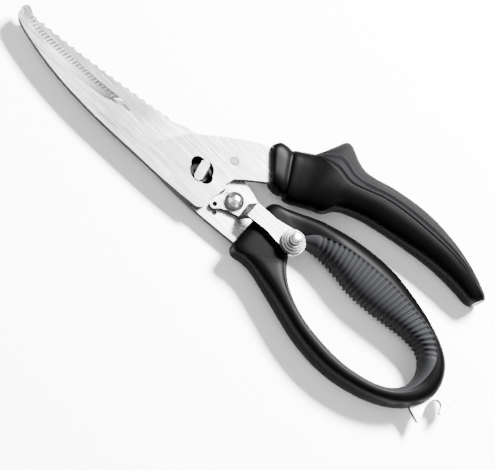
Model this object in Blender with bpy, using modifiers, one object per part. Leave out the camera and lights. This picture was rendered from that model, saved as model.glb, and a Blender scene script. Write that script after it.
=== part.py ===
"""Poultry shears: two detachable halves on a T-head stud, a locking lever, a ring
handle with a ribbed liner and bottle opener, and an open handle with a soft grip.

Units are metres in Blender; every dimension below is in millimetres and scaled by MM.
The blades point to -X, the handles to +X, the open handle is on the +Y side and the
front (upper) blade is on top.  The handles rest on z = 0.
"""
import math

import bmesh
import bpy

MM = 0.001

# Levels of the flat parts, above the table.
REAR_Z0 = 4.0
REAR_Z1 = 7.0
FRONT_Z0 = 7.3
FRONT_Z1 = 10.3
LEVER_Z1 = 9.3
ARM_Z0 = 15.0
SHEET = 2.0
GAP = 0.3

# Joint axes (the blade pivot is the drawing origin of every outline below).
PIVOT = (-21.2, -15.9)
LEVER = (18.9, 0.3)
LEVER_ARM_ANGLE = 4.5
LEVER_ARM_LENGTH = 29.3

# Pivot hardware.
STUD_SHANK_R = 2.8
STUD_FLANGE_R = 4.4
T_HEAD_LENGTH = 9.9
T_HEAD_WIDTH = 3.8
T_HEAD_ANGLE = 104.0
KEYHOLE_ANGLE = -18.0
HOUSING_R = 10.5
SPRING_WIRE_R = 0.8
SPRING_COIL_R = 8.4
STOP_PIN = (7.1, 13.2)
STOP_PIN_R = 1.8
DETENT = (13.7, -6.5)
RELIEF_R = 12.8

# Blade details.
SCALLOPS = 18
SCALLOP_DEPTH = 0.9
FLUTES = 28
FLUTE_START = -96.5
FLUTE_END = -47.5
FLUTE_DEPTH = 0.45
FLUTE_LENGTH = 3.0

GRIND_DROP = 2.3

# Handle details.
RIB_PITCH = 2.3
RIB_DEPTH = 0.55
RIBBED_WIDTH = 4.2
GRIP_GROOVE_DEPTH = 0.55

# Small turned parts.
DOME_R = 4.2
KNOB_TIERS = ((2.7, 4.5), (3.6, 3.3), (4.5, 2.0), (5.3, 0.7))


# ------------------------------------------------------------------ helpers
def polar(radius, degrees, centre=(0.0, 0.0)):
    a = math.radians(degrees)
    return (centre[0] + radius * math.cos(a), centre[1] + radius * math.sin(a))


def arc(radius, start, end, count, centre=(0.0, 0.0)):
    step = (end - start) / (count - 1)
    return [polar(radius, start + step * i, centre) for i in range(count)]


def rotated(points, degrees):
    c = math.cos(math.radians(degrees))
    s = math.sin(math.radians(degrees))
    return [(x * c - y * s, x * s + y * c) for x, y in points]


def smooth(rows, steps, closed=False):
    """Catmull-Rom through rows of numbers, with the given steps in each interval."""
    count = len(rows)
    out = []
    spans = count if closed else count - 1
    for i in range(spans):
        if closed:
            a, b, c, d = (rows[(i + k) % count] for k in (-1, 0, 1, 2))
        else:
            a, b = rows[max(i - 1, 0)], rows[i]
            c, d = rows[i + 1], rows[min(i + 2, count - 1)]
        for k in range(steps):
            t = k / steps
            row = []
            for p, q, r, s in zip(a, b, c, d):
                m0 = (r - p) * 0.5
                m1 = (s - q) * 0.5
                h = q * (2 * t**3 - 3 * t**2 + 1) + m0 * (t**3 - 2 * t**2 + t)
                h += r * (3 * t**2 - 2 * t**3) + m1 * (t**3 - t**2)
                row.append(h)
            out.append(tuple(row))
    if not closed:
        out.append(tuple(rows[-1]))
    return out


def link(obj, collection):
    collection.objects.link(obj)
    return obj


def mesh_object(name, mesh, collection, material=None):
    obj = bpy.data.objects.new(name, mesh)
    link(obj, collection)
    if material:
        mesh.materials.append(material)
    return obj


def clean_mesh(mesh):
    bm = bmesh.new()
    bm.from_mesh(mesh)
    bmesh.ops.remove_doubles(bm, verts=bm.verts, dist=0.00002)
    bmesh.ops.dissolve_degenerate(bm, dist=0.00001, edges=bm.edges)
    bmesh.ops.recalc_face_normals(bm, faces=bm.faces)
    bm.to_mesh(mesh)
    bm.free()


def curve_to_mesh(curve, name):
    holder = bpy.data.objects.new(name + "_curve", curve)
    bpy.context.scene.collection.objects.link(holder)
    depsgraph = bpy.context.evaluated_depsgraph_get()
    mesh = bpy.data.meshes.new_from_object(holder.evaluated_get(depsgraph))
    bpy.data.objects.remove(holder)
    mesh.name = name
    mesh.materials.clear()
    clean_mesh(mesh)
    return mesh


def plate_mesh(name, loops, z0, z1):
    """Flat plate: closed outlines (holes by even-odd) between two levels."""
    curve = bpy.data.curves.new(name, "CURVE")
    curve.dimensions = "2D"
    curve.fill_mode = "BOTH"
    curve.extrude = (z1 - z0) * 0.5 * MM
    for loop in loops:
        spline = curve.splines.new("POLY")
        spline.points.add(len(loop) - 1)
        spline.use_cyclic_u = True
        for point, (x, y) in zip(spline.points, loop):
            point.co = (x * MM, y * MM, 0.0, 1.0)
    mesh = curve_to_mesh(curve, name)
    middle = (z0 + z1) * 0.5 * MM
    for vertex in mesh.vertices:
        vertex.co.z += middle
    return mesh


def wire_mesh(name, points, radius, resolution=3):
    curve = bpy.data.curves.new(name, "CURVE")
    curve.dimensions = "3D"
    curve.bevel_depth = radius * MM
    curve.bevel_resolution = resolution
    curve.use_fill_caps = True
    spline = curve.splines.new("POLY")
    spline.points.add(len(points) - 1)
    for point, (x, y, z) in zip(spline.points, points):
        point.co = (x * MM, y * MM, z * MM, 1.0)
    return curve_to_mesh(curve, name)


def lathe_mesh(name, profile, segments=32, closed=False):
    """Turned shape: profile of (radius, z), listed from top to bottom."""
    mesh = bpy.data.meshes.new(name + "_profile")
    edges = [(i, i + 1) for i in range(len(profile) - 1)]
    if closed:
        edges.append((len(profile) - 1, 0))
    mesh.from_pydata([(r * MM, 0.0, z * MM) for r, z in profile], edges, [])
    holder = bpy.data.objects.new(name + "_lathe", mesh)
    bpy.context.scene.collection.objects.link(holder)
    screw = holder.modifiers.new("turn", "SCREW")
    screw.steps = segments
    screw.render_steps = segments
    screw.use_merge_vertices = True
    screw.merge_threshold = 0.00001
    depsgraph = bpy.context.evaluated_depsgraph_get()
    turned = bpy.data.meshes.new_from_object(holder.evaluated_get(depsgraph))
    bpy.data.objects.remove(holder)
    turned.name = name
    clean_mesh(turned)
    return turned


def loft_mesh(name, sections, closed=False):
    """Skin between sections of equal point count, given as (x, y, z) in millimetres."""
    count = len(sections[0])
    verts = [(x * MM, y * MM, z * MM) for section in sections for x, y, z in section]
    faces = []
    spans = len(sections) if closed else len(sections) - 1
    for i in range(spans):
        j = (i + 1) % len(sections)
        for k in range(count):
            m = (k + 1) % count
            faces.append((i * count + k, i * count + m, j * count + m, j * count + k))
    if not closed:
        faces.append(tuple(range(count))[::-1])
        faces.append(tuple((len(sections) - 1) * count + k for k in range(count)))
    mesh = bpy.data.meshes.new(name)
    mesh.from_pydata(verts, [], faces)
    clean_mesh(mesh)
    return mesh


def place(obj, centre, parent=None):
    obj.parent = parent
    obj.location = (centre[0] * MM, centre[1] * MM, 0.0)


def shift_mesh(mesh, dx, dy, dz=0.0):
    for vertex in mesh.vertices:
        vertex.co.x += dx * MM
        vertex.co.y += dy * MM
        vertex.co.z += dz * MM


def carve(obj, meshes, operation="DIFFERENCE"):
    """Apply a Boolean with each cutter, which stays in the hidden cutter collection."""
    for mesh in meshes:
        cutter = mesh_object("cutter_" + mesh.name[:40], mesh, CUTTERS)
        cutter.display_type = "WIRE"
        cutter.hide_render = True
        cutter.location = obj.location
        cutter.parent = obj.parent
        boolean = obj.modifiers.new("cut", "BOOLEAN")
        boolean.object = cutter
        boolean.operation = operation
        boolean.solver = "EXACT"


def material(name, colour, metallic, roughness):
    mat = bpy.data.materials.new(name)
    mat.use_nodes = True
    shader = mat.node_tree.nodes["Principled BSDF"]
    shader.inputs["Base Color"].default_value = (*colour, 1.0)
    shader.inputs["Metallic"].default_value = metallic
    shader.inputs["Roughness"].default_value = roughness
    mat.diffuse_color = (*colour, 1.0)
    return mat


def superellipse_section(inner, outer, start, end, half, middle, power, samples, groove=None):
    """Closed handle section in the upright plane through two plan points.

    The whole section runs from -1 (inner) to +1 (outer); only start..end is kept, so a
    core and its soft cover are cut from the same rounded shape.
    """
    cx, cy = (inner[0] + outer[0]) * 0.5, (inner[1] + outer[1]) * 0.5
    hx, hy = (outer[0] - inner[0]) * 0.5, (outer[1] - inner[1]) * 0.5
    top, bottom = [], []
    for k in range(samples):
        u = k / (samples - 1)
        t = start + (end - start) * (0.5 - 0.5 * math.cos(math.pi * u))
        t = max(-0.995, min(0.995, t))
        rise = half * (1.0 - abs(t) ** power) ** (1.0 / power)
        dip = groove[k] if groove else 0.0
        top.append((cx + hx * t, cy + hy * t, middle + rise - dip))
        bottom.append((cx + hx * t, cy + hy * t, middle - rise))
    return top + bottom[::-1]


# ------------------------------------------------------------------ outlines
SCALLOP_START = (-94.6, -1.4)
SCALLOP_END = (-22.1, 8.7)


def scalloped_back():
    points = []
    for i in range(SCALLOPS):
        for k in range(4):
            u = (i + k / 4.0) / SCALLOPS
            x = SCALLOP_START[0] + (SCALLOP_END[0] - SCALLOP_START[0]) * u
            y = SCALLOP_START[1] + (SCALLOP_END[1] - SCALLOP_START[1]) * u
            y += 0.5 * math.sin(math.pi * u) * -1.6
            dip = SCALLOP_DEPTH * math.sin(math.pi * k / 4.0)
            points.append((x, y - dip))
    return points


def rear_outline():
    tip = [(-96.6, -2.0), (-97.6, -3.3), (-97.2, -4.9)]
    edge = smooth([(-97.2, -4.9), (-88.0, -6.6), (-77.6, -7.9), (-61.0, -9.6), (-46.8, -10.9),
                   (-31.0, -12.6), (-18.0, -13.6), (0.0, -14.0), (12.0, -13.6), (23.0, -12.7),
                   (33.0, -11.8)], 2)[1:]
    tang = [(34.4, -10.6), (35.4, -7.2), (44.0, -6.2), (46.0, -4.2), (46.0, 3.4), (44.0, 5.2),
            (35.4, 5.6), (34.0, 6.6)]
    shoulder = [(29.3, 7.5), (22.5, 9.6), (15.8, 11.0), (12.6, 10.4)]
    relief = arc(RELIEF_R, 44.0, 99.0, 12)
    back = [(-3.4, 13.4), (-11.2, 12.1), (-17.0, 10.3)]
    return tip + edge + tang + shoulder + relief + back + scalloped_back()[::-1]


FRONT_SPINE = [(-98.9, -8.4), (-94.2, -10.1), (-85.9, -12.1), (-76.8, -13.8), (-66.3, -15.0),
               (-56.4, -15.6), (-46.3, -15.8), (-34.2, -15.6), (-21.2, -15.2), (-8.0, -14.8),
               (6.2, -13.6)]
FRONT_EDGE = [(-36.3, -3.6), (-41.5, -2.2), (-46.5, -1.5), (-52.2, -2.0), (-64.5, -2.9),
              (-77.1, -3.4), (-86.0, -3.7), (-92.0, -3.4), (-96.4, -1.7), (-98.9, -0.3)]
FRONT_TANG_UPPER = [(22.0, 33.2), (13.8, 29.2), (5.6, 24.6), (-3.9, 17.2), (-11.1, 10.9),
                    (-14.6, 7.6), (-17.6, 2.8), (-20.2, -2.4), (-22.6, -4.0), (-28.0, -4.3)]


def front_outline():
    corner = arc(3.6, -85.0, 8.0, 6, (7.6, -9.9))
    lower_end = [(11.0, -6.2), (12.3, 1.2)]
    notch = arc(1.9, -70.0, -215.0, 7, (13.2, 3.4))[1:]
    tang = [(12.2, 7.2), (15.9, 10.7), (23.2, 16.9), (29.0, 21.0), (36.0, 25.4), (37.0, 28.0),
            (35.4, 32.0), (32.4, 33.6), (27.0, 33.8)]
    tip = [(-100.3, -0.4), (-101.3, -1.8), (-101.5, -4.0), (-100.8, -6.6)]
    spine = smooth(FRONT_SPINE, 2)
    edge = smooth(FRONT_EDGE, 2)
    return spine + corner + lower_end + notch + tang + smooth(FRONT_TANG_UPPER, 2) + edge + tip


def slot_outline(half_length, half_width, degrees):
    right = arc(half_width, -90.0, 90.0, 7, (half_length - half_width, 0.0))
    left = arc(half_width, 90.0, 270.0, 7, (half_width - half_length, 0.0))
    return rotated(right + left, degrees)


# Ring handle stations: inner x, inner y, outer x, outer y, half height, middle height,
# roundness power and liner width, counted round the finger opening.
RING = [
    (50.7, 1.6, 30.1, -3.0, 6.1, 8.1, 5.0, 2.2),
    (51.2, -1.0, 30.6, -12.0, 6.1, 8.1, 5.0, 2.2),
    (51.6, -1.8, 31.4, -15.2, 6.1, 8.1, 5.0, 2.2),
    (52.0, -2.6, 34.0, -16.5, 6.1, 8.1, 5.0, 2.2),
    (52.8, -3.6, 38.0, -15.7, 6.1, 8.1, 4.5, 2.2),
    (54.2, -5.2, 43.5, -15.8, 6.4, 7.9, 3.6, 2.2),
    (57.5, -8.4, 51.2, -17.6, 7.2, 7.6, 3.0, 2.2),
    (61.5, -11.3, 57.5, -19.2, 7.5, 7.6, 2.8, 2.2),
    (68.5, -14.7, 66.8, -21.8, 7.6, 7.6, 2.8, 2.2),
    (77.5, -17.1, 76.6, -24.3, 7.6, 7.6, 2.8, 2.2),
    (89.0, -18.3, 89.0, -25.7, 7.6, 7.6, 2.8, 2.2),
    (98.5, -18.2, 99.6, -25.1, 7.6, 7.6, 2.8, 2.2),
    (106.8, -16.8, 108.9, -23.1, 7.6, 7.6, 2.8, 2.2),
    (113.3, -14.9, 116.9, -20.3, 7.6, 7.6, 2.8, 2.2),
    (118.5, -12.0, 124.5, -16.2, 7.6, 7.6, 2.8, 2.3),
    (122.0, -8.4, 130.0, -11.5, 7.6, 7.6, 2.8, 2.6),
    (123.7, -5.0, 133.6, -6.5, 7.6, 7.6, 2.8, 2.9),
    (124.3, -1.2, 135.4, -0.6, 7.6, 7.6, 2.8, 3.2),
    (123.8, 2.9, 135.0, 5.0, 7.7, 7.7, 2.8, 3.8),
    (122.0, 6.2, 132.6, 10.4, 7.8, 7.8, 2.8, 5.0),
    (119.2, 8.8, 128.5, 15.0, 7.9, 7.9, 2.8, 6.4),
    (115.2, 10.1, 122.5, 18.6, 8.1, 8.1, 2.8, 7.8),
    (110.5, 10.1, 115.3, 21.4, 8.3, 8.3, 2.8, 9.2),
    (104.5, 9.3, 108.0, 23.7, 8.4, 8.4, 2.7, 10.7),
    (98.5, 8.2, 100.6, 25.4, 8.5, 8.5, 2.6, 12.4),
    (92.4, 7.3, 94.0, 26.6, 8.5, 8.5, 2.6, 13.6),
    (87.0, 6.8, 87.9, 27.2, 8.5, 8.5, 2.6, 14.2),
    (81.5, 6.6, 80.5, 27.1, 8.5, 8.5, 2.6, 13.8),
    (76.0, 7.2, 73.4, 26.4, 8.5, 8.5, 2.6, 12.6),
    (70.5, 8.2, 67.0, 25.4, 8.4, 8.4, 2.6, 10.8),
    (65.0, 8.9, 60.9, 24.0, 8.2, 8.2, 2.7, 8.8),
    (59.5, 9.3, 52.6, 21.5, 7.6, 7.9, 2.9, 6.6),
    (56.0, 9.2, 47.4, 19.2, 6.9, 8.0, 3.3, 4.8),
    (53.4, 8.2, 41.6, 16.2, 6.3, 8.1, 3.8, 3.4),
    (51.8, 6.8, 36.5, 13.6, 6.1, 8.1, 4.5, 2.6),
    (51.0, 5.4, 32.4, 12.0, 6.1, 8.1, 5.0, 2.3),
    (50.7, 4.6, 30.4, 9.6, 6.1, 8.1, 5.0, 2.2),
    (50.6, 3.4, 30.0, 4.0, 6.1, 8.1, 5.0, 2.2),
]

# Open handle stations, from the collar to the rounded end: inner, outer, half height,
# middle height, roundness power and width of the soft grip (0 where there is none).
OPEN = [
    (24.2, 18.4, 13.7, 29.9, 5.6, 8.1, 5.0, 0.0),
    (24.7, 17.8, 13.9, 31.0, 6.2, 8.1, 5.0, 0.0),
    (26.6, 16.9, 15.4, 33.6, 6.2, 8.1, 4.5, 0.0),
    (29.6, 17.0, 18.4, 34.6, 5.9, 8.1, 4.2, 0.0),
    (31.8, 18.3, 21.2, 34.9, 5.3, 8.1, 4.0, 0.0),
    (33.2, 17.2, 22.4, 35.9, 6.0, 8.1, 4.0, 0.0),
    (36.0, 17.8, 26.0, 38.6, 6.4, 8.1, 3.6, 0.0),
    (39.5, 20.0, 29.6, 41.8, 6.9, 8.2, 3.4, 1.6),
    (42.5, 21.6, 33.0, 49.6, 7.8, 8.4, 3.0, 10.0),
    (45.2, 22.9, 35.0, 54.6, 8.2, 8.5, 2.7, 15.4),
    (47.8, 23.8, 37.3, 55.8, 8.4, 8.5, 2.6, 17.0),
    (49.6, 25.6, 40.4, 54.7, 8.5, 8.5, 2.6, 16.2),
    (51.4, 28.8, 44.5, 52.6, 8.5, 8.5, 2.6, 14.0),
    (54.0, 31.2, 49.5, 51.4, 8.5, 8.5, 2.6, 11.4),
    (58.5, 33.5, 55.0, 52.2, 8.5, 8.5, 2.6, 9.9),
    (64.9, 35.8, 62.0, 54.4, 8.5, 8.5, 2.6, 9.4),
    (71.5, 37.4, 69.5, 56.0, 8.5, 8.5, 2.6, 9.3),
    (78.0, 38.7, 77.0, 57.1, 8.5, 8.5, 2.6, 9.5),
    (85.0, 40.0, 85.0, 57.5, 8.5, 8.5, 2.6, 9.3),
    (91.3, 41.1, 92.5, 57.1, 8.4, 8.4, 2.6, 8.4),
    (98.5, 42.0, 101.0, 56.0, 8.2, 8.2, 2.6, 6.9),
    (105.8, 42.4, 109.5, 54.0, 7.9, 7.9, 2.6, 5.2),
    (112.5, 42.3, 117.0, 51.6, 7.4, 7.4, 2.6, 3.6),
    (118.6, 42.0, 122.4, 49.4, 6.6, 6.9, 2.6, 2.4),
    (121.4, 42.6, 124.2, 48.0, 5.2, 6.6, 2.6, 1.8),
]


def ring_meshes():
    rows = smooth(RING, 2, closed=True)
    core, liner, arc_length, previous = [], [], 0.0, None
    for ix, iy, ox, oy, half, middle, power, width in rows:
        span = math.hypot(ox - ix, oy - iy)
        split = -1.0 + 2.0 * width / span
        gap = 2.0 * GAP / span
        core.append(superellipse_section((ix, iy), (ox, oy), split + gap, 1.0, half, middle, power, 8))
    dense = smooth(RING, 6, closed=True)
    stations = []
    for row in dense:
        ix, iy, ox, oy, half, middle, power, width = row
        span = math.hypot(ox - ix, oy - iy)
        mid = (ix + (ox - ix) * width * 0.5 / span, iy + (oy - iy) * width * 0.5 / span)
        if previous:
            arc_length += math.hypot(mid[0] - previous[0], mid[1] - previous[1])
        previous = mid
        stations.append((arc_length, row))
    ribbed = [s for s, row in stations if row[7] > RIBBED_WIDTH]
    first, last = min(ribbed), max(ribbed)
    wanted = []
    plain = [s for s, row in stations[::6] if s < first - 1.0 or s > last + 1.0]
    ribs = int((last - first) / RIB_PITCH)
    pitch = (last - first) / ribs
    for k in range(2 * ribs + 1):
        wanted.append((first + k * pitch * 0.5, RIB_DEPTH if k % 2 else 0.0))
    wanted += [(s, 0.0) for s in plain]
    for s, dip in sorted(wanted):
        index = max(i for i, item in enumerate(stations) if item[0] <= s + 1e-9)
        following = min(index + 1, len(stations) - 1)
        low, high = stations[index], stations[following]
        blend = 0.0 if high[0] == low[0] else (s - low[0]) / (high[0] - low[0])
        row = [a + (b - a) * blend for a, b in zip(low[1], high[1])]
        ix, iy, ox, oy, half, middle, power, width = row
        span = math.hypot(ox - ix, oy - iy)
        split = -1.0 + 2.0 * width / span
        liner.append(superellipse_section((ix, iy), (ox, oy), -1.0, split, half - dip, middle,
                                          power, 7))
    return loft_mesh("ring_handle_core", core, True), loft_mesh("ring_handle_liner", liner, True)


def open_meshes():
    rows = smooth(OPEN, 2)
    core, grip = [], []
    for ix, iy, ox, oy, half, middle, power, width in rows:
        span = math.hypot(ox - ix, oy - iy)
        split = 1.0 - 2.0 * width / span
        gap = 2.0 * GAP / span
        end = split - gap if width > 1.0 else 1.0
        core.append(superellipse_section((ix, iy), (ox, oy), -1.0, end, half, middle, power, 8))
        if width > 1.4:
            depth = GRIP_GROOVE_DEPTH if width > 4.0 else 0.0
            groove = [0.0, 0.0, depth, 0.0, depth, 0.0, depth, 0.0, 0.0]
            grip.append(superellipse_section((ix, iy), (ox, oy), split, 1.0, half, middle, power,
                                             9, groove))
    return loft_mesh("open_handle_core", core), loft_mesh("open_handle_grip", grip)


# ------------------------------------------------------------------ scene
for old in list(bpy.data.objects):
    bpy.data.objects.remove(old, do_unlink=True)

PARTS = bpy.data.collections.new("poultry_shears")
CUTTERS = bpy.data.collections.new("cutters")
for group in (PARTS, CUTTERS):
    bpy.context.scene.collection.children.link(group)
CUTTERS.hide_render = True

STEEL = material("brushed_steel", (0.62, 0.63, 0.64), 1.0, 0.32)
POLISHED = material("polished_steel", (0.75, 0.75, 0.76), 1.0, 0.14)
SPRING_STEEL = material("spring_steel", (0.35, 0.35, 0.37), 1.0, 0.35)
BLACK = material("black_handle_plastic", (0.012, 0.012, 0.013), 0.0, 0.38)
GREY = material("grey_soft_grip", (0.085, 0.087, 0.092), 0.0, 0.62)

blade_axis = bpy.data.objects.new("blade_pivot_axis", None)
lever_axis = bpy.data.objects.new("lever_pivot_axis", None)
for axis, centre in ((blade_axis, (0.0, 0.0)), (lever_axis, LEVER)):
    link(axis, PARTS)
    axis.location = ((PIVOT[0] + centre[0]) * MM, (PIVOT[1] + centre[1]) * MM, 0.0)
    axis.empty_display_size = 0.01


def fixed_part(name, mesh, mat):
    obj = mesh_object(name, mesh, PARTS, mat)
    place(obj, PIVOT)
    return obj


def hinged_part(name, mesh, mat, axis):
    """Moving part, drawn about the blade pivot and hung on its own joint axis."""
    if axis is lever_axis:
        shift_mesh(mesh, -LEVER[0], -LEVER[1])
    obj = mesh_object(name, mesh, PARTS, mat)
    place(obj, (0.0, 0.0), axis)
    return obj


# Rear blade, with the holes for the cup, rivet and detent, and the groove of the spring's leg.
rear = fixed_part("rear_blade", plate_mesh("rear_blade", [rear_outline()], REAR_Z0, REAR_Z1), STEEL)
rivet_hole = arc(2.3, 0.0, 345.0, 24, LEVER)
rear_cuts = [
    plate_mesh("rear_pivot_hole", [arc(HOUSING_R + 0.3, 0.0, 352.5, 48)], 3.0, 8.0),
    plate_mesh("rear_rivet_hole", [rivet_hole], 3.0, 8.0),
    plate_mesh("rear_detent_hole", [arc(1.3, 0.0, 337.5, 16, DETENT)], 3.0, 8.0),
    plate_mesh("rear_plain_hole", [arc(1.2, 0.0, 337.5, 16, (16.0, -8.6))], 3.0, 8.0),
]
groove_box = rotated([(9.0, -1.35), (16.0, -1.35), (16.0, 1.35), (9.0, 1.35)], 48.0)
rear_cuts.append(plate_mesh("rear_spring_groove", [groove_box], 4.7, 8.0))
REAR_EDGE_LINE = [(-99.0, -3.9), (-88.0, -6.6), (-77.6, -7.9), (-61.0, -9.6), (-46.8, -10.9),
                  (-31.0, -12.6)]
rear_grind = []
for x, y in REAR_EDGE_LINE:
    taper = min(1.0, (x + 104.0) / 20.0) * min(1.0, (-24.0 - x) / 12.0)
    width = 5.0 * taper
    slope = GRIND_DROP / 5.0
    rear_grind.append([(x, y + width, REAR_Z0), (x, y - 3.0, REAR_Z0 + slope * (width + 3.0)),
                       (x, y - 3.0, REAR_Z0 - 2.0), (x, y + width, REAR_Z0 - 2.0)])
rear_cuts.append(loft_mesh("rear_grind", rear_grind))
carve(rear, rear_cuts)

# Bottle opener: a claw on one side and a hooked mouth at the end.
opener_outline = [(129.6, -8.6), (131.6, -10.8), (134.6, -11.8), (137.9, -12.9), (138.5, -12.3),
                  (137.2, -8.8), (136.0, -6.0), (135.8, -2.9), (136.3, -0.9), (137.6, 0.5),
                  (139.2, 0.8), (140.6, 0.0), (141.4, -1.5), (141.9, -3.3), (143.0, -3.0),
                  (143.9, 0.0), (143.6, 2.6), (140.8, 6.2), (136.4, 9.8), (132.4, 11.0),
                  (130.0, 8.4)]
fixed_part("bottle_opener", plate_mesh("bottle_opener", [opener_outline], 6.4, 8.9), STEEL)

# Ring handle, with pockets for the blade's tang and the opener's root.
ring_core_mesh, ring_liner_mesh = ring_meshes()
ring_core = fixed_part("ring_handle_core", ring_core_mesh, BLACK)
fixed_part("ring_handle_liner", ring_liner_mesh, GREY)
rear_pocket = [(28.0, -12.7), (33.3, -12.2), (34.8, -10.8), (35.7, -7.6), (44.1, -6.6),
               (46.4, -4.4), (46.4, 3.6), (44.1, 5.6), (35.6, 6.0), (34.2, 7.0), (28.0, 8.3)]
opener_pocket = [(138.5, -14.0), (131.0, -11.5), (129.1, -8.8), (129.6, 8.8), (132.0, 11.8),
                 (137.5, 12.0), (146.0, 2.0), (146.0, -6.0)]
carve(ring_core, [
    plate_mesh("ring_tang_pocket", [rear_pocket], REAR_Z0 - GAP, REAR_Z1 + GAP),
    plate_mesh("ring_opener_pocket", [opener_pocket], 6.1, 9.2),
])

# Front blade, with the stepped keyhole and the ground, fluted edge.
front = hinged_part("front_blade", plate_mesh("front_blade", [front_outline()], FRONT_Z0, FRONT_Z1),
                    STEEL, blade_axis)
front_cuts = [
    plate_mesh("front_recess", [arc(5.2, 0.0, 352.5, 32)], FRONT_Z0 + 1.5, 12.0),
    plate_mesh("front_recess_lobes", [slot_outline(6.6, 3.1, KEYHOLE_ANGLE)], FRONT_Z0 + 1.45, 12.0),
    plate_mesh("front_keyhole_round", [arc(3.2, 0.0, 345.0, 24)], 6.0, 12.5),
    plate_mesh("front_keyhole_slot", [slot_outline(6.2, 2.75, KEYHOLE_ANGLE)], 6.5, 12.6),
    plate_mesh("front_pin_hole", [arc(STOP_PIN_R + 0.15, 0.0, 337.5, 16, STOP_PIN)], 6.0, 12.0),
]
# Ground bevel stations: x, y of the edge and width of the bevel.
FRONT_GRIND = [(-104.0, 1.8, 3.6), (-98.9, -0.3, 5.0), (-96.4, -1.7, 5.4), (-92.0, -3.4, 5.9),
               (-86.0, -3.7, 6.2), (-77.1, -3.4, 6.8), (-64.5, -2.9, 6.4), (-52.2, -2.0, 5.6),
               (-46.5, -1.5, 4.2), (-41.5, -2.2, 2.4), (-38.6, -3.0, 0.8)]
# One grinding cutter: a slope down to the edge, with a shallow flute at every other
# section of the serrated length.
grind_rows = smooth(FRONT_GRIND, 8)
flute_rows = []
for i in range(2 * FLUTES + 1):
    x = FLUTE_START + (FLUTE_END - FLUTE_START) * i / (2 * FLUTES)
    following = next(k for k, row in enumerate(grind_rows) if row[0] > x)
    low, high = grind_rows[following - 1], grind_rows[following]
    blend = (x - low[0]) / (high[0] - low[0])
    row = [p + (q - p) * blend for p, q in zip(low, high)]
    flute_rows.append((*row, FLUTE_DEPTH if i % 2 else 0.0))
plain_rows = [(*row, 0.0) for row in grind_rows[::4]]
before = [row for row in plain_rows if row[0] < FLUTE_START - 1.0]
after = [row for row in plain_rows if row[0] > FLUTE_END + 1.0]
front_grind = []
for x, y, width, depth in before + flute_rows + after:
    slope = GRIND_DROP / max(width, 2.0)
    root = min(FLUTE_LENGTH, width * 0.6)
    front_grind.append([(x, y - width, FRONT_Z1), (x, y - width, FRONT_Z1 + 2.0),
                        (x, y + 3.0, FRONT_Z1 + 2.0),
                        (x, y + 3.0, FRONT_Z1 - slope * (width + 3.0) - 2.0 * depth),
                        (x, y - root, FRONT_Z1 - slope * (width - root))])
front_cuts.append(loft_mesh("front_grind", front_grind))
carve(front, front_cuts)

# Stop pin.
pin_profile = [(0.0, 10.3), (1.6, 10.3), (STOP_PIN_R, 10.1), (STOP_PIN_R, 4.3), (1.5, 4.0), (0.0, 4.0)]
pin_mesh = lathe_mesh("stop_pin", pin_profile, 20)
shift_mesh(pin_mesh, *STOP_PIN)
hinged_part("stop_pin", pin_mesh, POLISHED, blade_axis)

# Open handle, with a pocket for the front blade's tang.
open_core_mesh, open_grip_mesh = open_meshes()
open_core = hinged_part("open_handle_core", open_core_mesh, BLACK, blade_axis)
hinged_part("open_handle_grip", open_grip_mesh, GREY, blade_axis)
front_pocket = [(11.5, 28.1), (13.6, 29.5), (21.9, 33.6), (27.0, 34.2), (32.6, 34.0), (35.8, 32.3),
                (37.4, 28.0), (36.3, 25.1), (29.2, 20.6), (23.4, 16.5), (19.0, 13.0)]
carve(open_core, [plate_mesh("open_tang_pocket", [front_pocket], FRONT_Z0 - GAP, FRONT_Z1 + GAP)])

# Cup round the pivot, with the opening spring in it.
housing_profile = [(9.7, 6.9), (HOUSING_R, 6.9), (HOUSING_R, 3.7), (12.4, 3.7), (12.4, 3.1), (12.2, 2.9),
                   (3.3, 2.9), (3.3, 4.2), (9.7, 4.2)]
housing = fixed_part("spring_housing", lathe_mesh("spring_housing", housing_profile, 48, True), BLACK)
leg_slot = rotated([(8.9, -1.3), (16.0, -1.3), (16.0, 1.3), (8.9, 1.3)], 48.0)
tail_slot = rotated([(8.9, -1.3), (10.1, -1.3), (10.1, 1.3), (8.9, 1.3)], 130.0)
carve(housing, [plate_mesh("housing_leg_slot", [leg_slot], 4.6, 8.0),
                plate_mesh("housing_tail_slot", [tail_slot], 4.6, 8.0)])

coil = [(*polar(9.4, 130.0), 5.7)]
coil += [(*polar(SPRING_COIL_R, 133.0 + i * 7.5), 5.7) for i in range(36)]
coil += [(*polar(SPRING_COIL_R + 0.7, 45.0), 5.7), (*polar(10.5, 47.5), 5.7), (*polar(15.2, 48.6), 5.7)]
fixed_part("opening_spring", wire_mesh("opening_spring", coil, SPRING_WIRE_R, 2), SPRING_STEEL)

# Stud with its T-shaped head, washer, nut and detent ball.
stud_profile = [(0.0, 9.4), (STUD_SHANK_R, 9.4), (STUD_SHANK_R, 6.5), (4.2, 6.5), (STUD_FLANGE_R, 6.3),
                (STUD_FLANGE_R, 4.5), (3.0, 4.5), (3.0, 0.5), (2.7, 0.2), (0.0, 0.2)]
stud = fixed_part("pivot_stud", lathe_mesh("pivot_stud", stud_profile, 32), POLISHED)
half_l, half_w = T_HEAD_LENGTH * 0.5, T_HEAD_WIDTH * 0.5
head_outline = rotated([(half_l, -0.9), (half_l, 0.9), (half_l - 1.5, half_w), (1.5 - half_l, half_w),
                        (-half_l, 0.9), (-half_l, -0.9), (1.5 - half_l, -half_w),
                        (half_l - 1.5, -half_w)], T_HEAD_ANGLE)
carve(stud, [plate_mesh("stud_t_head", [head_outline], 9.1, 10.8)], "UNION")
fixed_part("pivot_washer", lathe_mesh("pivot_washer", [(3.3, 2.6), (7.6, 2.6), (7.8, 2.4), (7.8, 2.1),
                                                       (3.3, 2.1)], 40, True), STEEL)
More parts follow.
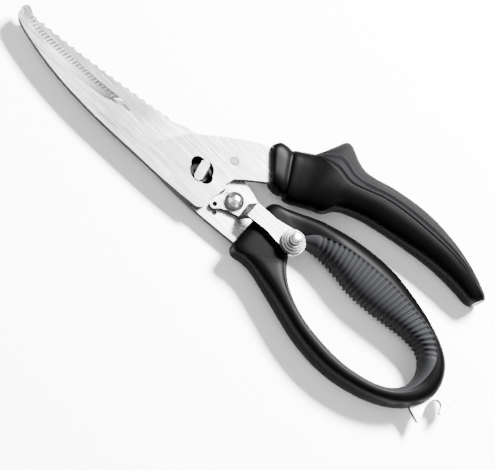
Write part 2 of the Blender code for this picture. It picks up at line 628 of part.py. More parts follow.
fixed_part("pivot_nut", lathe_mesh("pivot_nut", [(3.3, 1.8), (6.2, 1.8), (6.2, 1.0), (5.2, 0.0),
                                                 (3.3, 0.0)], 32, True), POLISHED)
ball = lathe_mesh("detent_ball", [(math.sin(math.pi * i / 8), 6.0 + math.cos(math.pi * i / 8))
                                  for i in range(9)], 16)
shift_mesh(ball, *DETENT)
fixed_part("detent_ball", ball, POLISHED)

# Locking lever: a bent strip seen from the side, cut to its plan.  It is drawn with its
# arm along +X, stood on edge, then turned to its locked angle.
hook = [polar(4.5, 170.0), polar(5.7, 152.0), polar(5.9, 145.0), polar(5.4, 134.0), polar(4.5, 122.0)]
boss = arc(4.8, 112.0, 58.0, 5)
arm = [(4.6, 3.6), (10.0, 3.6), (18.0, 3.3), (23.4, 4.2)]
pad = arc(5.7, 125.0, -125.0, 15, (LEVER_ARM_LENGTH, 0.0))
back = [(23.4, -4.2), (18.0, -3.3), (10.0, -3.6), (4.6, -3.8)]
nose = [polar(5.0, 300.0), polar(5.0, 268.0), polar(7.1, 244.0), polar(9.6, 239.0), polar(10.5, 232.5),
        polar(10.5, 224.5), polar(9.4, 217.5), polar(6.6, 206.0)]
lever_plan = rotated(hook + boss + arm + pad + back + nose, LEVER_ARM_ANGLE)
ramp = (ARM_Z0 - FRONT_Z0) * 0.34
side = [(-16.0, FRONT_Z0), (6.6, FRONT_Z0), (6.6 + ramp, ARM_Z0), (40.0, ARM_Z0), (40.0, ARM_Z0 + SHEET),
        (5.2 + ramp, ARM_Z0 + SHEET), (5.2, LEVER_Z1), (-16.0, LEVER_Z1)]
lever_mesh = plate_mesh("lock_lever", [side], -16.0, 16.0)
c, s = math.cos(math.radians(LEVER_ARM_ANGLE)), math.sin(math.radians(LEVER_ARM_ANGLE))
for vertex in lever_mesh.vertices:
    x, z, y = vertex.co
    y = -y
    vertex.co = (x * c - y * s, x * s + y * c, z)
clean_mesh(lever_mesh)
shift_mesh(lever_mesh, *LEVER)
lever = hinged_part("lock_lever", lever_mesh, STEEL, lever_axis)
carve(lever, [plate_mesh("lever_plan", [lever_plan], 0.0, 30.0)], "INTERSECT")
knob_spot = polar(LEVER_ARM_LENGTH, LEVER_ARM_ANGLE)
nose_spot = (DETENT[0] - LEVER[0], DETENT[1] - LEVER[1])
carve(lever, [plate_mesh("lever_rivet_hole", [arc(2.3, 0.0, 345.0, 24)], 5.0, 12.0),
              plate_mesh("lever_detent_hole", [arc(1.15, 0.0, 337.5, 16, nose_spot)], 5.0, 12.0),
              plate_mesh("lever_knob_hole", [arc(1.8, 0.0, 337.5, 16, knob_spot)], 12.0, 20.0)])

# Domed rivet of the lever, with a washer above and below.
rivet_profile = [(0.0, 12.6), (1.6, 12.4), (3.0, 11.7), (3.9, 10.8), (DOME_R, 9.9), (2.0, 9.9), (2.0, 3.1),
                 (3.2, 3.1), (3.2, 2.5), (2.4, 2.0), (0.0, 2.0)]
rivet_mesh = lathe_mesh("lever_rivet", rivet_profile, 28)
shift_mesh(rivet_mesh, *LEVER)
fixed_part("lever_rivet", rivet_mesh, POLISHED)
for name, rim, low, high in (("lever_washer", 4.5, 9.45, 9.75), ("lever_back_washer", 4.3, 3.25, 3.75)):
    washer = lathe_mesh(name, [(2.3, high), (rim, high), (rim, low), (2.3, low)], 28, True)
    shift_mesh(washer, *LEVER)
    fixed_part(name, washer, STEEL)

# Stepped knob and the rivet through it.
knob_x, knob_y = LEVER[0] + knob_spot[0], LEVER[1] + knob_spot[1]
top = ARM_Z0 + SHEET
knob_profile = [(1.8, top + 5.6)]
for rim, low in KNOB_TIERS:
    knob_profile += [(rim - 0.25, top + low + 0.95), (rim, top + low + 0.7), (rim, top + low + 0.1),
                     (rim - 0.55, top + low - 0.1), (rim - 0.55, top + low - 0.3)]
knob_profile[-2:] = [(5.3, top + 0.3), (1.8, top + 0.3)]
knob_mesh = lathe_mesh("lever_knob", knob_profile, 28, True)
shift_mesh(knob_mesh, knob_x, knob_y)
hinged_part("lever_knob", knob_mesh, POLISHED, lever_axis)
knob_rivet_profile = [(0.0, top + 5.7), (1.5, top + 5.5), (1.5, ARM_Z0 - 0.2), (2.6, ARM_Z0 - 0.2),
                      (2.6, ARM_Z0 - 0.45), (0.0, ARM_Z0 - 0.45)]
knob_rivet_mesh = lathe_mesh("knob_rivet", knob_rivet_profile, 20)
shift_mesh(knob_rivet_mesh, knob_x, knob_y)
hinged_part("knob_rivet", knob_rivet_mesh, POLISHED, lever_axis)
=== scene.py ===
import math

import bmesh
import bpy
from mathutils import Matrix, Vector


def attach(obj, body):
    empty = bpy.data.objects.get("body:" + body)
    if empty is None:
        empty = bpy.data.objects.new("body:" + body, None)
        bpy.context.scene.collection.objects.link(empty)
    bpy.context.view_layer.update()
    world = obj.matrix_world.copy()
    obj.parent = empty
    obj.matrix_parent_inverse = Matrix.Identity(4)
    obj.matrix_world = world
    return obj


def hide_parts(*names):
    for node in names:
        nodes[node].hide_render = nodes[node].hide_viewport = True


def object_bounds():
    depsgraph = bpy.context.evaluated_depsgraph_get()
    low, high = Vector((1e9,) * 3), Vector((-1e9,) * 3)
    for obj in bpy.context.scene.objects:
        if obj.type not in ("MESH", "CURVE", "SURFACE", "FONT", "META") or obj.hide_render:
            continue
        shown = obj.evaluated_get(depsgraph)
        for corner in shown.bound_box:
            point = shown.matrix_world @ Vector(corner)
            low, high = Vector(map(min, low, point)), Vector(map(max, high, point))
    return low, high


# The shears' sizes are millimetres in the shared frame, and MM turns them into metres.
MM = 0.001
PIVOT = Vector((-21.2, -15.9, 0.0))
GAP = 0.12
PLATE_TOP = 10.3

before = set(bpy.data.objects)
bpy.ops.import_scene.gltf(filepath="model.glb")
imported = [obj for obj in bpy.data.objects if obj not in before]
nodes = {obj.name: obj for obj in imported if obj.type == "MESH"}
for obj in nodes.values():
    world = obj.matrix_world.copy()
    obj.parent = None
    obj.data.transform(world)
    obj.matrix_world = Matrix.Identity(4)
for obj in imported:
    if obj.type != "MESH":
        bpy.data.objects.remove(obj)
cad_low, cad_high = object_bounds()


# ---------------------------------------------------------------- materials
# Grinding lines are noise stretched along X. Slopes are limits on the Z part of a face's normal.
NOISE_MIDDLE = (0.3, 0.7)
BRUSH_STROKES = (14.0, 380.0, 60.0)
BRUSH_DEPTH = 0.04
GRAIN_DEPTH = 0.05
# WALL_SLOPE and GROUND_SLOPE set where painted shade starts on upright faces and on bevels.
WALL_SLOPE = (0.15, 0.62)
GROUND_SLOPE = (0.95, 0.99)
# RECESS_REACH bounds the painted shade round the pivot.
RECESS_REACH = 7.5
FAR_BLADE = (-55.0, -35.0)


def new_material(name):
    mat = bpy.data.materials.new(name)
    mat.use_nodes = True
    tree = mat.node_tree
    return mat, tree, tree.nodes["Principled BSDF"]


def math_node(tree, operation, a, b):
    """An operation on two inputs, each a number or another node's output."""
    node = tree.nodes.new("ShaderNodeMath")
    node.operation = operation
    for socket, value in zip(node.inputs, (a, b)):
        if isinstance(value, (int, float)):
            socket.default_value = value
        else:
            tree.links.new(value, socket)
    return node.outputs[0]


def coordinates(tree, scale=(1.0, 1.0, 1.0), rotation=0.0):
    """The shared frame's coordinates, stretched, and turned about Z by degrees."""
    coord = tree.nodes.new("ShaderNodeTexCoord")
    mapping = tree.nodes.new("ShaderNodeMapping")
    mapping.inputs["Scale"].default_value = scale
    mapping.inputs["Rotation"].default_value = (0.0, 0.0, math.radians(rotation))
    tree.links.new(coord.outputs["Object"], mapping.inputs["Vector"])
    return mapping.outputs["Vector"]


def position(tree, origin=(0.0, 0.0, 0.0)):
    """X, Y and Z outputs of the point in the shared frame, counted from an origin."""
    coord = tree.nodes.new("ShaderNodeTexCoord")
    offset = tree.nodes.new("ShaderNodeVectorMath")
    offset.operation = "SUBTRACT"
    offset.inputs[1].default_value = origin
    tree.links.new(coord.outputs["Object"], offset.inputs[0])
    parts = tree.nodes.new("ShaderNodeSeparateXYZ")
    tree.links.new(offset.outputs["Vector"], parts.inputs["Vector"])
    return parts.outputs


def noise(tree, vector, scale, detail=4.0, roughness=0.55):
    node = tree.nodes.new("ShaderNodeTexNoise")
    node.inputs["Scale"].default_value = scale
    node.inputs["Detail"].default_value = detail
    node.inputs["Roughness"].default_value = roughness
    tree.links.new(vector, node.inputs["Vector"])
    return node.outputs["Fac"]


def limits(tree, value, source, target):
    """The value carried from one range to another, held at both ends."""
    node = tree.nodes.new("ShaderNodeMapRange")
    node.inputs["From Min"].default_value, node.inputs["From Max"].default_value = source
    node.inputs["To Min"].default_value, node.inputs["To Max"].default_value = target
    tree.links.new(value, node.inputs["Value"])
    return node.outputs["Result"]


def spread(tree, value, low, high):
    """The middle part of a noise, stretched over a range."""
    return limits(tree, value, NOISE_MIDDLE, (low, high))


def ramp(tree, value, ends, dark, light):
    """A colour that runs from dark to light while the value crosses the ends."""
    node = tree.nodes.new("ShaderNodeValToRGB")
    for element, end, colour in zip(node.color_ramp.elements, ends, (dark, light)):
        element.position = end
        element.color = (*colour, 1.0)
    tree.links.new(value, node.inputs["Fac"])
    return node.outputs["Color"]


def bump(tree, shader, height, strength, distance):
    node = tree.nodes.new("ShaderNodeBump")
    node.inputs["Strength"].default_value = strength
    node.inputs["Distance"].default_value = distance
    tree.links.new(height, node.inputs["Height"])
    tree.links.new(node.outputs["Normal"], shader.inputs["Normal"])


def slope_shade(tree, wall_shade, bevel_shade):
    """1 on level faces; painted shade elsewhere, one share of the tone on bevels and one on
    upright faces.
    """
    geometry = tree.nodes.new("ShaderNodeNewGeometry")
    parts = tree.nodes.new("ShaderNodeSeparateXYZ")
    tree.links.new(geometry.outputs["True Normal"], parts.inputs["Vector"])
    flat = math_node(tree, "ABSOLUTE", parts.outputs["Z"], 0.0)
    return math_node(tree, "MULTIPLY", limits(tree, flat, WALL_SLOPE, (wall_shade, 1.0)),
                     limits(tree, flat, GROUND_SLOPE, (bevel_shade, 1.0)))


def recess_shade(tree, level, floor):
    """Painted shade in the recess: 1 above the level and away from the pivot, the floor tone
    below it near the pivot.
    """
    point = position(tree, (PIVOT.x * MM, PIVOT.y * MM, 0.0))
    reach = math_node(tree, "ADD", math_node(tree, "MULTIPLY", point["X"], point["X"]),
                      math_node(tree, "MULTIPLY", point["Y"], point["Y"]))
    near = math_node(tree, "LESS_THAN", reach, (RECESS_REACH * MM) ** 2)
    low = math_node(tree, "LESS_THAN", point["Z"], level * MM)
    inside = math_node(tree, "MULTIPLY", near, low)
    return limits(tree, inside, (0.0, 1.0), (1.0, floor))


def far_shade(tree, far_end):
    """1 on the handle side, falling to the far tone towards the tip."""
    low, high = FAR_BLADE
    return limits(tree, position(tree)["X"], (low * MM, high * MM), (far_end, 1.0))


def brushed_metal(name, tone, rough, strength, wall_shade, contrast,
                  rotation=0.0, bevel_shade=1.0, shaded_recess=None, far_end=1.0):
    """Steel with fine straight grinding lines and a slow cloudy change of tone.

    Painted shade leaves upright faces and bevels a share of the tone each, and faces below a
    level round the pivot another share. The tone also falls to a share towards the tip.
    """
    mat, tree, shader = new_material(name)
    shader.inputs["Metallic"].default_value = 1.0
    lines = noise(tree, coordinates(tree, BRUSH_STROKES, rotation), 4.0, 6.0, 0.75)
    clouds = noise(tree, coordinates(tree), 22.0, 3.0)
    mixed = math_node(tree, "ADD", math_node(tree, "MULTIPLY", lines, 0.7),
                      math_node(tree, "MULTIPLY", clouds, 0.3))
    dark, light = tone * (1.0 - 0.3 * contrast), tone * (1.0 + 0.1 * contrast)
    colour = ramp(tree, mixed, NOISE_MIDDLE,
                  (dark, dark, dark * 1.01), (light, light, light * 0.99))
    shade = slope_shade(tree, wall_shade, bevel_shade)
    if shaded_recess:
        shade = math_node(tree, "MULTIPLY", shade, recess_shade(tree, *shaded_recess))
    if far_end != 1.0:
        shade = math_node(tree, "MULTIPLY", shade, far_shade(tree, far_end))
    toned = tree.nodes.new("ShaderNodeVectorMath")
    toned.operation = "SCALE"
    tree.links.new(colour, toned.inputs[0])
    tree.links.new(shade, toned.inputs["Scale"])
    tree.links.new(toned.outputs["Vector"], shader.inputs["Base Color"])
    tree.links.new(spread(tree, mixed, rough - 0.05, rough + 0.08), shader.inputs["Roughness"])
    bump(tree, shader, lines, strength, BRUSH_DEPTH * MM)
    return mat


def moulded(name, colour, low, high, grain, strength, specular):
    """Plastic or soft rubber with a fine moulded grain and a slightly uneven sheen."""
    mat, tree, shader = new_material(name)
    shader.inputs["Specular IOR Level"].default_value = specular
    vector = coordinates(tree)
    fine = noise(tree, vector, grain, 3.0)
    slow = noise(tree, vector, 35.0, 4.0)
    dark, light = ([c * share for c in colour] for share in (0.86, 1.14))
    tree.links.new(ramp(tree, slow, (0.25, 0.75), dark, light), shader.inputs["Base Color"])
    tree.links.new(spread(tree, slow, low, high), shader.inputs["Roughness"])
    bump(tree, shader, fine, strength, GRAIN_DEPTH * MM)
    return mat


# Painted shade on all these steels: darker upright faces and bevels, and a dark recess round the
# pivot on the front plate and stud.
STEEL = brushed_metal("blade_steel", tone=0.42, rough=0.24, strength=0.6, wall_shade=0.03,
                      contrast=1.6, far_end=0.42)
PLATE_STEEL = brushed_metal("front_plate_steel", tone=0.29, rough=0.24, strength=0.6, wall_shade=0.03,
                            contrast=1.8, bevel_shade=0.74, shaded_recess=(PLATE_TOP - 0.3, 0.05))
STEEL_CROSS = brushed_metal("cross_brushed_steel", tone=0.36, rough=0.24, strength=0.5, wall_shade=0.04,
                            contrast=1.6, rotation=82.0)
# The opener's steel is paler than the rest: painted light, lifting it where the handle shades it.
OPENER_STEEL = brushed_metal("opener_steel", tone=0.7, rough=0.26, strength=0.4, wall_shade=0.02,
                             contrast=0.8, rotation=82.0)
POLISHED = brushed_metal("polished_steel", tone=0.5, rough=0.15, strength=0.05, wall_shade=0.07,
                         contrast=0.5)
STUD_STEEL = brushed_metal("stud_steel", tone=0.36, rough=0.2, strength=0.05, wall_shade=0.1,
                           contrast=0.5, shaded_recess=(PLATE_TOP - 0.3, 0.05))
DARK_STEEL = brushed_metal("spring_steel", tone=0.20, rough=0.32, strength=0.1, wall_shade=0.6,
                           contrast=1.0)
BLACK = moulded("black_plastic", colour=(0.0006, 0.0006, 0.00063), low=0.30, high=0.40,
                grain=2600.0, strength=0.14, specular=0.018)
# One grey rubber in two tones: the liner's paler grey is painted light on the shaded inner wall,
# the grip's darker grey painted shade on its lit top.
LINER_GREY = moulded("grey_liner_rubber", colour=(0.0088, 0.0090, 0.0098), low=0.50, high=0.64,
                     grain=3200.0, strength=0.25, specular=0.045)
GRIP_GREY = moulded("grey_grip_rubber", colour=(0.0033, 0.0034, 0.0036), low=0.50, high=0.64,
                    grain=3200.0, strength=0.25, specular=0.03)


# ---------------------------------------------------------------- soft-edged lofts
# Millimetres, except that RIB_EDGE and the grooves' pitch and ends are shares of the way across
# a section. A fade is the soft part's width where it begins, and the growth that completes it.
RIB_PITCH = 2.3
RIB_DEPTH = 0.85
RIB_SEAT = 0.25
RIB_EDGE = (0.93, 0.1)
RIB_FADE = (5.6, 1.6)
GROOVE_DEPTH = 0.65
GROOVE_PITCH = 0.19
GROOVE_ENDS = (0.10, 0.67)
GROOVE_FADE = (2.6, 3.0)
WAVE_POWER = 1.4
LEAST_GRIP = 1.4
LEAST_GAP = 1.0
EVEN_STEP = 0.38
CORE_SAMPLES, LINER_SAMPLES, GRIP_SAMPLES = 26, 24, 40
WELD = 0.005
# Degrees between faces, above which an edge stays sharp or takes a bevel.
SKIN_ANGLE, BEVEL_ANGLE, LOADED_ANGLE = 42.0, 50.0, 32.0


def smooth(rows, steps, closed=False):
    """A Catmull-Rom curve through rows of numbers."""
    count = len(rows)
    out = []
    spans = count if closed else count - 1
    for i in range(spans):
        if closed:
            a, b, c, d = (rows[(i + k) % count] for k in (-1, 0, 1, 2))
        else:
            a, b = rows[max(i - 1, 0)], rows[i]
            c, d = rows[i + 1], rows[min(i + 2, count - 1)]
        for k in range(steps):
            t = k / steps
            row = []
            for p, q, r, s in zip(a, b, c, d):
                m0 = (r - p) * 0.5
                m1 = (s - q) * 0.5
                h = q * (2 * t**3 - 3 * t**2 + 1) + m0 * (t**3 - 2 * t**2 + t)
                h += r * (3 * t**2 - 2 * t**3) + m1 * (t**3 - t**2)
                row.append(h)
            out.append(tuple(row))
    if not closed:
        out.append(tuple(rows[-1]))
    return out


def section(row, start, end, samples, dips=None):
    """Rounded upright section between the plan points of a station, cut to start..end."""
    ix, iy, ox, oy, half, middle, power = row[:7]
    cx, cy = (ix + ox) * 0.5, (iy + oy) * 0.5
    hx, hy = (ox - ix) * 0.5, (oy - iy) * 0.5
    width = math.hypot(hx, hy)
    top, bottom = [], []
    for k in range(samples):
        u = k / (samples - 1)
        t = start + (end - start) * (0.5 - 0.5 * math.cos(math.pi * u))
        t = max(-0.9995, min(0.9995, t))
        rise = half * (1.0 - abs(t) ** power) ** (1.0 / power)
        dip = dips(u) if dips else 0.0
        ts, rs = t * (1.0 - dip / width), rise * (1.0 - dip / half)
        top.append((cx + hx * ts, cy + hy * ts, middle + rs))
        bottom.append((cx + hx * ts, cy + hy * ts, middle - rs))
    return top + bottom[::-1]


def inside_box(*point):
    """The point, kept inside the CAD part's overall box."""
    return tuple(max(a, min(b, v)) for a, v, b in zip(cad_low, point, cad_high))


def skin(name, sections, mat, closed=False, bevel=0.0):
    """A smooth-shaded solid lofted through the sections."""
    count = len(sections[0])
    verts = [inside_box((x + PIVOT.x) * MM, (y + PIVOT.y) * MM, z * MM)
             for s in sections for x, y, z in s]
    faces = []
    spans = len(sections) if closed else len(sections) - 1
    for i in range(spans):
        j = (i + 1) % len(sections)
        for k in range(count):
            m = (k + 1) % count
            faces.append((i * count + k, i * count + m, j * count + m, j * count + k))
    if not closed:
        faces.append(tuple(range(count))[::-1])
        faces.append(tuple((len(sections) - 1) * count + k for k in range(count)))
    mesh = bpy.data.meshes.new(name)
    mesh.from_pydata(verts, [], faces)
    bm = bmesh.new()
    bm.from_mesh(mesh)
    bmesh.ops.remove_doubles(bm, verts=bm.verts, dist=WELD * MM)
    bmesh.ops.recalc_face_normals(bm, faces=bm.faces)
    bm.to_mesh(mesh)
    bm.free()
    mesh.materials.append(mat)
    obj = bpy.data.objects.new(name, mesh)
    bpy.context.scene.collection.objects.link(obj)
    soften(obj, SKIN_ANGLE)
    if bevel:
        rounding = obj.modifiers.new("edge", "BEVEL")
        rounding.width = bevel * MM
        rounding.segments = 2
        rounding.limit_method = "ANGLE"
        rounding.angle_limit = math.radians(BEVEL_ANGLE)
    return obj


def soften(obj, degrees):
    obj.data.shade_smooth()
    obj.data.set_sharp_from_angle(angle=math.radians(degrees))


# Each station: inner and outer plan points from the pivot, half height, middle height, how
# square the section is, and the width of the soft part.
RING = [
    (50.7, 1.6, 30.1, -3.0, 6.1, 8.1, 5.0, 2.2),
    (51.2, -1.0, 30.6, -12.0, 6.1, 8.1, 5.0, 2.2),
    (51.6, -1.8, 31.4, -15.2, 6.1, 8.1, 5.0, 2.2),
    (52.0, -2.6, 34.0, -16.5, 6.1, 8.1, 5.0, 2.2),
    (52.8, -3.6, 38.0, -15.7, 6.1, 8.1, 4.5, 2.2),
    (54.2, -5.2, 43.5, -15.8, 6.4, 7.9, 3.6, 2.2),
    (57.5, -8.4, 51.2, -17.6, 7.2, 7.6, 3.0, 2.2),
    (61.5, -11.3, 57.5, -19.2, 7.5, 7.6, 2.8, 2.2),
    (68.5, -14.7, 66.8, -21.8, 7.6, 7.6, 2.8, 2.2),
    (77.5, -17.1, 76.6, -24.3, 7.6, 7.6, 2.8, 2.2),
    (89.0, -18.3, 89.0, -25.7, 7.6, 7.6, 2.8, 2.2),
    (98.5, -18.2, 99.6, -25.1, 7.6, 7.6, 2.8, 2.2),
    (106.8, -16.8, 108.9, -23.1, 7.6, 7.6, 2.8, 2.2),
    (113.3, -14.9, 116.9, -20.3, 7.6, 7.6, 2.8, 2.2),
    (118.5, -12.0, 124.5, -16.2, 7.6, 7.6, 2.8, 2.3),
    (122.0, -8.4, 130.0, -11.5, 7.6, 7.6, 2.8, 2.6),
    (123.7, -5.0, 133.6, -6.5, 7.6, 7.6, 2.8, 2.9),
    (124.3, -1.2, 135.4, -0.6, 7.6, 7.6, 2.8, 3.2),
    (123.8, 2.9, 135.0, 5.0, 7.7, 7.7, 2.8, 3.8),
    (122.0, 6.2, 132.6, 10.4, 7.8, 7.8, 2.8, 5.0),
    (119.2, 8.8, 128.5, 15.0, 7.9, 7.9, 2.8, 6.4),
    (115.2, 10.1, 122.5, 18.6, 8.1, 8.1, 2.8, 7.8),
    (110.5, 10.1, 115.3, 21.4, 8.3, 8.3, 2.8, 9.2),
    (104.5, 9.3, 108.0, 23.7, 8.4, 8.4, 2.7, 10.7),
    (98.5, 8.2, 100.6, 25.4, 8.5, 8.5, 2.6, 12.4),
    (92.4, 7.3, 94.0, 26.6, 8.5, 8.5, 2.6, 13.6),
    (87.0, 6.8, 87.9, 27.2, 8.5, 8.5, 2.6, 14.2),
    (81.5, 6.6, 80.5, 27.1, 8.5, 8.5, 2.6, 13.8),
    (76.0, 7.2, 73.4, 26.4, 8.5, 8.5, 2.6, 12.6),
    (70.5, 8.2, 67.0, 25.4, 8.4, 8.4, 2.6, 10.8),
    (65.0, 8.9, 60.9, 24.0, 8.2, 8.2, 2.7, 8.8),
    (59.5, 9.3, 52.6, 21.5, 7.6, 7.9, 2.9, 6.6),
    (56.0, 9.2, 47.4, 19.2, 6.9, 8.0, 3.3, 4.8),
    (53.4, 8.2, 41.6, 16.2, 6.3, 8.1, 3.8, 3.4),
    (51.8, 6.8, 36.5, 13.6, 6.1, 8.1, 4.5, 2.6),
    (51.0, 5.4, 32.4, 12.0, 6.1, 8.1, 5.0, 2.3),
    (50.7, 4.6, 30.4, 9.6, 6.1, 8.1, 5.0, 2.2),
    (50.6, 3.4, 30.0, 4.0, 6.1, 8.1, 5.0, 2.2),
]
OPEN = [
    (24.2, 18.4, 13.7, 29.9, 5.6, 8.1, 5.0, 0.0),
    (24.7, 17.8, 13.9, 31.0, 6.2, 8.1, 5.0, 0.0),
    (26.6, 16.9, 15.4, 33.6, 6.2, 8.1, 4.5, 0.0),
    (29.6, 17.0, 18.4, 34.6, 5.9, 8.1, 4.2, 0.0),
    (31.8, 18.3, 21.2, 34.9, 5.3, 8.1, 4.0, 0.0),
    (33.2, 17.2, 22.4, 35.9, 6.0, 8.1, 4.0, 0.0),
    (36.0, 17.8, 26.0, 38.6, 6.4, 8.1, 3.6, 0.0),
    (39.5, 20.0, 29.6, 41.8, 6.9, 8.2, 3.4, 1.6),
    (42.5, 21.6, 33.0, 49.6, 7.8, 8.4, 3.0, 10.0),
    (45.2, 22.9, 35.0, 54.6, 8.2, 8.5, 2.7, 15.4),
    (47.8, 23.8, 37.3, 55.8, 8.4, 8.5, 2.6, 17.0),
    (49.6, 25.6, 40.4, 54.7, 8.5, 8.5, 2.6, 16.2),
    (51.4, 28.8, 44.5, 52.6, 8.5, 8.5, 2.6, 14.0),
    (54.0, 31.2, 49.5, 51.4, 8.5, 8.5, 2.6, 11.4),
    (58.5, 33.5, 55.0, 52.2, 8.5, 8.5, 2.6, 9.9),
    (64.9, 35.8, 62.0, 54.4, 8.5, 8.5, 2.6, 9.4),
    (71.5, 37.4, 69.5, 56.0, 8.5, 8.5, 2.6, 9.3),
    (78.0, 38.7, 77.0, 57.1, 8.5, 8.5, 2.6, 9.5),
    (85.0, 40.0, 85.0, 57.5, 8.5, 8.5, 2.6, 9.3),
    (91.3, 41.1, 92.5, 57.1, 8.4, 8.4, 2.6, 8.4),
    (98.5, 42.0, 101.0, 56.0, 8.2, 8.2, 2.6, 6.9),
    (105.8, 42.4, 109.5, 54.0, 7.9, 7.9, 2.6, 5.2),
    (112.5, 42.3, 117.0, 51.6, 7.4, 7.4, 2.6, 3.6),
    (118.6, 42.0, 122.4, 49.4, 6.6, 6.9, 2.6, 2.4),
    (121.4, 42.6, 124.2, 48.0, 5.2, 6.6, 2.6, 1.8),
]


def width_of(row):
    """A station's full width in plan."""
    return math.hypot(row[2] - row[0], row[3] - row[1])


def share_of(value, length):
    """A value as a share of a length, held between 0 and 1."""
    return max(0.0, min(1.0, value / length))


def wave_at(distance, pitch):
    """0 to 1 and back once a pitch, with the hollows narrower than the crests."""
    return (0.5 - 0.5 * math.cos(2.0 * math.pi * distance / pitch)) ** WAVE_POWER


def resampled(rows, step):
    """The stations of a closed loop at even spacing along the liner's middle."""
    distance, marks = 0.0, []
    previous = None
    for row in rows + rows[:1]:
        share = row[7] * 0.5 / width_of(row)
        mid = (row[0] + (row[2] - row[0]) * share, row[1] + (row[3] - row[1]) * share)
        if previous:
            distance += math.hypot(mid[0] - previous[0], mid[1] - previous[1])
        previous = mid
        marks.append((distance, row))
    count = int(distance / step)
    out, index = [], 0
    for i in range(count):
        s = distance * i / count
        while marks[index + 1][0] < s:
            index += 1
        low, high = marks[index], marks[index + 1]
        t = (s - low[0]) / max(high[0] - low[0], 1e-9)
        out.append((s, [a + (b - a) * t for a, b in zip(low[1], high[1])]))
    return out


def make_ring():
    dense = smooth(RING, 10, closed=True)
    core = []
    for row in dense[::2]:
        start = -1.0 + 2.0 * (row[7] + GAP) / width_of(row)
        core.append(section(row, start, 1.0, CORE_SAMPLES))
    liner = []
    for s, row in resampled(dense, EVEN_STEP):
        split = -1.0 + 2.0 * row[7] / width_of(row)
        fade = share_of(row[7] - RIB_FADE[0], RIB_FADE[1])
        depth = (wave_at(s, RIB_PITCH) * RIB_DEPTH + RIB_SEAT) * fade

        def dips(u):
            return depth * share_of(RIB_EDGE[0] - u, RIB_EDGE[1])

        liner.append(section(row, -1.0, split, LINER_SAMPLES, dips))
    return (skin("ring_core_visual", core, BLACK, True, 0.25),
            skin("ring_liner_visual", liner, LINER_GREY, True))


def make_open():
    core, grip = [], []
    first, last = GROOVE_ENDS
    for row in smooth(OPEN, 8):
        span = width_of(row)
        split = 1.0 - 2.0 * row[7] / span
        end = split - 2.0 * GAP / span if row[7] > LEAST_GAP else 1.0
        core.append(section(row, -1.0, end, CORE_SAMPLES))
        if row[7] <= LEAST_GRIP:
            continue
        depth = GROOVE_DEPTH * share_of(row[7] - GROOVE_FADE[0], GROOVE_FADE[1])

        def dips(u):
            return depth * wave_at(u - first, GROOVE_PITCH) if first < u < last else 0.0

        grip.append(section(row, split, 1.0, GRIP_SAMPLES, dips))
    return (skin("open_core_visual", core, BLACK, False, 0.3),
            skin("open_grip_visual", grip, GRIP_GREY, False, 0.2))


ring_core, ring_liner = make_ring()
open_core, open_grip = make_open()
for obj, node, body, slot in ((ring_core, "ring_handle_core", "rear_half", "black_plastic"),
                              (ring_liner, "ring_handle_liner", "rear_half", "grey_grip"),
                              (open_core, "open_handle_core", "front_half", "black_plastic"),
                              (open_grip, "open_handle_grip", "front_half", "grey_grip")):
    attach(obj, body)
    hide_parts(node)

# ---------------------------------------------------------------- steel and small parts
FINISH = {
    "rear_blade": STEEL, "front_blade": PLATE_STEEL, "bottle_opener": OPENER_STEEL,
    "lock_lever": STEEL_CROSS, "lever_washer": STEEL_CROSS, "lever_back_washer": STEEL_CROSS,
    "pivot_washer": STEEL_CROSS, "pivot_stud": STUD_STEEL, "pivot_nut": POLISHED,
    "detent_ball": POLISHED, "lever_rivet": POLISHED, "lever_knob": POLISHED,
    "knob_rivet": POLISHED, "stop_pin": POLISHED, "opening_spring": DARK_STEEL,
    "spring_housing": BLACK,
}
for name, mat in FINISH.items():
    node = nodes[name]
    node.data.materials.clear()
    node.data.materials.append(mat)
    soften(node, LOADED_ANGLE)

# ---------------------------------------------------------------- stage
# Metres from here on.
FLOOR_REACH = 3.0
FLOOR_DROP = 0.0001
LOW_LIGHT, HIGH_LIGHT = 0.25, 1.15

floor_mat, _, floor_shader = new_material("pale_floor")
floor_shader.inputs["Base Color"].default_value = (0.93, 0.93, 0.93, 1.0)
floor_shader.inputs["Roughness"].default_value = 0.7
floor_shader.inputs["Specular IOR Level"].default_value = 0.2
floor_mesh = bpy.data.meshes.new("floor")
floor_mesh.from_pydata([(x * FLOOR_REACH, y * FLOOR_REACH, 0.0)
                        for x, y in ((-1, -1), (1, -1), (1, 1), (-1, 1))], [], [(0, 1, 2, 3)])
floor_mesh.materials.append(floor_mat)
floor = bpy.data.objects.new("floor", floor_mesh)
floor.location.z = -FLOOR_DROP
bpy.context.scene.collection.objects.link(floor)

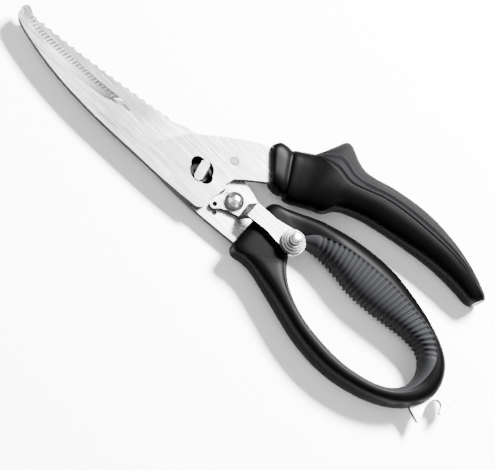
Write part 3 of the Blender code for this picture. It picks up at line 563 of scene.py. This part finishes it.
world = bpy.data.worlds.new("studio")
world.use_nodes = True
sky_tree = world.node_tree
background = sky_tree.nodes["Background"]
background.inputs["Color"].default_value = (1.0, 1.0, 1.0, 1.0)
sky = sky_tree.nodes.new("ShaderNodeTexCoord")
split = sky_tree.nodes.new("ShaderNodeSeparateXYZ")
sky_tree.links.new(sky.outputs["Generated"], split.inputs["Vector"])
zenith = math_node(sky_tree, "POWER", split.outputs["Z"], 2.0)
rise = limits(sky_tree, zenith, (0.0, 1.0), (LOW_LIGHT, HIGH_LIGHT))
sky_tree.links.new(rise, background.inputs["Strength"])
bpy.context.scene.world = world


def softbox(name, place, aim, size, power):
    """A rectangular lamp at a place, facing its aim, with its power in watts."""
    light = bpy.data.lights.new(name, "AREA")
    light.shape = "RECTANGLE"
    light.size, light.size_y = size
    light.energy = power
    obj = bpy.data.objects.new(name, light)
    obj.location = place
    direction = Vector(aim) - Vector(place)
    obj.rotation_euler = direction.to_track_quat("-Z", "Y").to_euler()
    bpy.context.scene.collection.objects.link(obj)


softbox("key", place=(0.05, 0.62, 0.75), aim=(0.02, 0.0, 0.0), size=(0.3, 0.2), power=160.0)
softbox("fill", place=(-0.55, -0.25, 0.7), aim=(0.0, 0.0, 0.0), size=(0.6, 0.4), power=3.0)
softbox("rim", place=(0.6, -0.15, 0.45), aim=(0.03, 0.0, 0.0), size=(0.25, 0.5), power=2.0)

# ---------------------------------------------------------------- camera
# SPAN is the width seen at the target, AIM the target's offset from the pivot along and up the
# picture, and ROLL the shares of the level and tilted directions. SENSOR is in millimetres.
TILT = math.radians(21.0)
ROLL = (0.716, 0.698)
AIM = (0.01904, -0.0272)
SPAN = 0.2071
DISTANCE = 1.3
SENSOR = 36.0
level = Vector((1.0, 0.0, 0.0))
tilted = Vector((0.0, math.cos(TILT), math.sin(TILT)))
right = ROLL[0] * level + ROLL[1] * tilted
up = ROLL[0] * tilted - ROLL[1] * level
away = right.cross(up).normalized()
target = Vector((PIVOT.x, PIVOT.y, PLATE_TOP)) * MM + AIM[0] * right + AIM[1] * up
camera_data = bpy.data.cameras.new("camera")
camera_data.sensor_width = SENSOR
camera_data.lens = SENSOR * DISTANCE / SPAN
camera = bpy.data.objects.new("camera", camera_data)
camera.matrix_world = Matrix.Translation(target + away * DISTANCE) @ Matrix(
    (right.normalized(), up.normalized(), away)).transposed().to_4x4()
bpy.context.scene.collection.objects.link(camera)
bpy.context.scene.camera = camera
